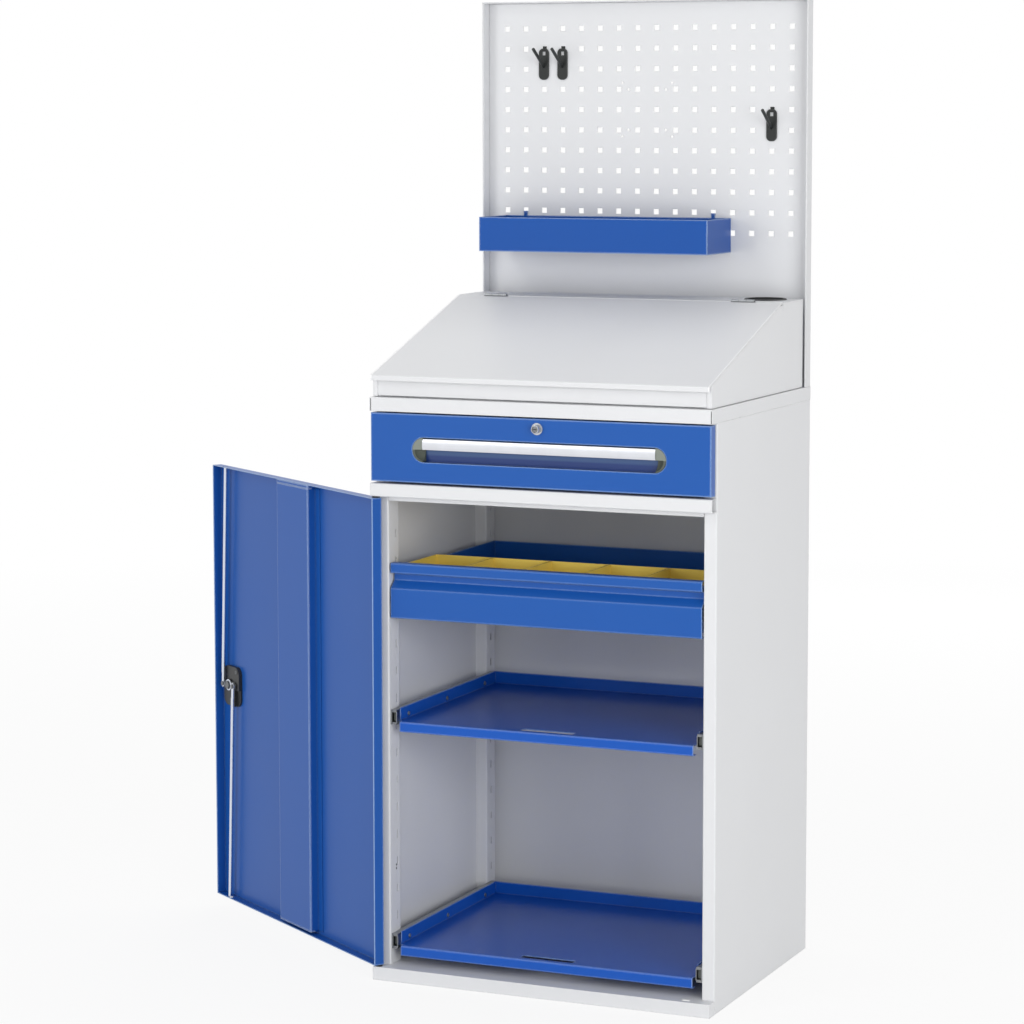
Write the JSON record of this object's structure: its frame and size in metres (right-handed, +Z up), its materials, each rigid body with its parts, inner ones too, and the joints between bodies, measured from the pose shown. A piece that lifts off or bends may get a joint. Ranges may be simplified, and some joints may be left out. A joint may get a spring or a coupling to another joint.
{
  "type": "lectern cabinet",
  "caption": "Steel standing-desk cabinet: sloped lift-up lectern lid, perforated rear panel, lockable drawer, bar-locked door, inner drawer and pull-out shelves.",
  "frame": {"origin": "middle of the cabinet's footprint, on the floor", "axes": "+Z up, -Y out of the front, +X to the right as seen from the front"},
  "size_m": [1.1731, 0.5261, 1.77],
  "materials": {
    "grey_paint": "light grey powder coat, fine satin",
    "blue_paint": "gentian blue powder coat, semi-gloss",
    "zinc": "bright zinc plate",
    "bright_bar": "clear anodised, bright",
    "grey_plastic": "moulded, smooth",
    "chrome": "polished",
    "yellow_plastic": "moulded, fine grain",
    "black_plastic": "moulded, fine grain",
    "black_steel": "black coat"
  },
  "bodies": {
    "cabinet": {"back_panel": "grey_paint", "base_stiffener": "grey_paint", "base_tray": "grey_paint", "inner_drawer_slides_fixed": "zinc", "lectern_back": "grey_paint", "lectern_floor": "grey_paint", "lectern_front": "grey_paint", "lectern_side_left": "grey_paint", "lectern_side_right": "grey_paint", "lid_hinge_fixed": "zinc", "lid_hinge_pins": "zinc", "lower_shelf_slides_fixed": "zinc", "middle_rail": "grey_paint", "panel_post_left": "grey_paint", "panel_post_right": "grey_paint", "panel_top_rail": "grey_paint", "pen_cup": "black_plastic", "perforated_panel": "grey_paint", "pivot_bushes": "black_plastic", "rear_uprights": "grey_paint", "side_panel_left": "grey_paint", "side_panel_right": "grey_paint", "storage_tray": "blue_paint", "tool_hooks": "black_steel", "top_cover": "grey_paint", "top_drawer_slides_fixed": "zinc", "upper_shelf_slides_fixed": "zinc"},
    "door": {"door_skin": "blue_paint", "door_stiffener": "blue_paint", "door_pivots": "zinc", "lock_case": "black_plastic", "handle_rose": "black_plastic"},
    "latch": {"turn_handle": "black_plastic", "latch_arm": "black_steel"},
    "handle_key": {"handle_core": "chrome"},
    "upper_bolt": {"upper_bar": "zinc"},
    "lower_bolt": {"lower_bar": "zinc"},
    "lid": {"lid": "grey_paint", "lid_stiffeners": "grey_paint", "lid_hinge_moving": "zinc"},
    "top_drawer": {"top_drawer_box": "blue_paint", "top_drawer_front": "blue_paint", "grip_trough": "blue_paint", "grip_bar": "bright_bar", "grip_caps": "grey_plastic", "lock_cylinder": "chrome", "top_drawer_slides_moving": "zinc"},
    "drawer_key": {"lock_plug": "chrome"},
    "top_drawer_middle": {"top_drawer_slides_middle": "zinc"},
    "inner_drawer": {"inner_drawer_box": "blue_paint", "inner_drawer_front": "blue_paint", "insert_bins": "yellow_plastic", "inner_drawer_slides_moving": "zinc"},
    "inner_drawer_middle": {"inner_drawer_slides_middle": "zinc"},
    "upper_tray": {"upper_shelf": "blue_paint", "upper_shelf_slides_moving": "zinc"},
    "upper_tray_middle": {"upper_shelf_slides_middle": "zinc"},
    "lower_tray": {"lower_shelf": "blue_paint", "lower_shelf_slides_moving": "zinc"},
    "lower_tray_middle": {"lower_shelf_slides_middle": "zinc"}
  },
  "joints": [
    {"name": "door_hinge", "type": "hinge", "parent": "cabinet", "child": "door", "pos_m": [-0.317, -0.252, 0], "axis": [0, 0, -1], "range_deg": [-215, 0]},
    {"name": "latch_turn", "type": "hinge", "parent": "door", "child": "latch", "pos_m": [-0.80063, 0.09641, 0.45], "axis": [0.5736, 0.8192, 0], "range_deg": [0, 90]},
    {"name": "handle_key_turn", "type": "hinge", "parent": "latch", "child": "handle_key", "pos_m": [-0.80063, 0.09641, 0.45], "axis": [0.5736, 0.8192, 0], "range_deg": [0, 90]},
    {"name": "upper_bar_pin", "type": "hinge", "parent": "latch", "child": "upper_bolt", "pos_m": [-0.82551, 0.09747, 0.45], "axis": [0.5736, 0.8192, 0], "range_deg": [-93, 0]},
    {"name": "lower_bar_pin", "type": "hinge", "parent": "latch", "child": "lower_bolt", "pos_m": [-0.79111, 0.07338, 0.45], "axis": [0.5736, 0.8192, 0], "range_deg": [-93, 0]},
    {"name": "lid_hinge", "type": "hinge", "parent": "cabinet", "child": "lid", "pos_m": [0, 0.112, 1.223], "axis": [-1, 0, 0], "range_deg": [0, 110]},
    {"name": "drawer_lock_turn", "type": "hinge", "parent": "top_drawer", "child": "drawer_key", "pos_m": [0, -0.26, 1.015], "axis": [0, -1, 0], "range_deg": [0, 90]},
    {"name": "top_drawer_slide", "type": "slide", "parent": "cabinet", "child": "top_drawer", "axis": [0, -1, 0], "range_m": [0, 0.4]},
    {"name": "top_drawer_middle_slide", "type": "slide", "parent": "cabinet", "child": "top_drawer_middle", "axis": [0, -1, 0], "range_m": [0, 0.2]},
    {"name": "inner_drawer_slide", "type": "slide", "parent": "cabinet", "child": "inner_drawer", "axis": [0, -1, 0], "range_m": [0, 0.38]},
    {"name": "inner_drawer_middle_slide", "type": "slide", "parent": "cabinet", "child": "inner_drawer_middle", "axis": [0, -1, 0], "range_m": [0, 0.19]},
    {"name": "upper_shelf_slide", "type": "slide", "parent": "cabinet", "child": "upper_tray", "axis": [0, -1, 0], "range_m": [0, 0.4]},
    {"name": "upper_shelf_middle_slide", "type": "slide", "parent": "cabinet", "child": "upper_tray_middle", "axis": [0, -1, 0], "range_m": [0, 0.2]},
    {"name": "lower_shelf_slide", "type": "slide", "parent": "cabinet", "child": "lower_tray", "axis": [0, -1, 0], "range_m": [0, 0.4]},
    {"name": "lower_shelf_middle_slide", "type": "slide", "parent": "cabinet", "child": "lower_tray_middle", "axis": [0, -1, 0], "range_m": [0, 0.2]}
  ],
  "couplings": [
    {"joint": "upper_bar_pin", "follows": "latch_turn", "ratio": -1.0312},
    {"joint": "lower_bar_pin", "follows": "latch_turn", "ratio": -1.0316},
    {"joint": "top_drawer_middle_slide", "follows": "top_drawer_slide", "ratio": 0.5},
    {"joint": "inner_drawer_middle_slide", "follows": "inner_drawer_slide", "ratio": 0.5},
    {"joint": "upper_shelf_middle_slide", "follows": "upper_shelf_slide", "ratio": 0.5},
    {"joint": "lower_shelf_middle_slide", "follows": "lower_shelf_slide", "ratio": 0.5}
  ]
}
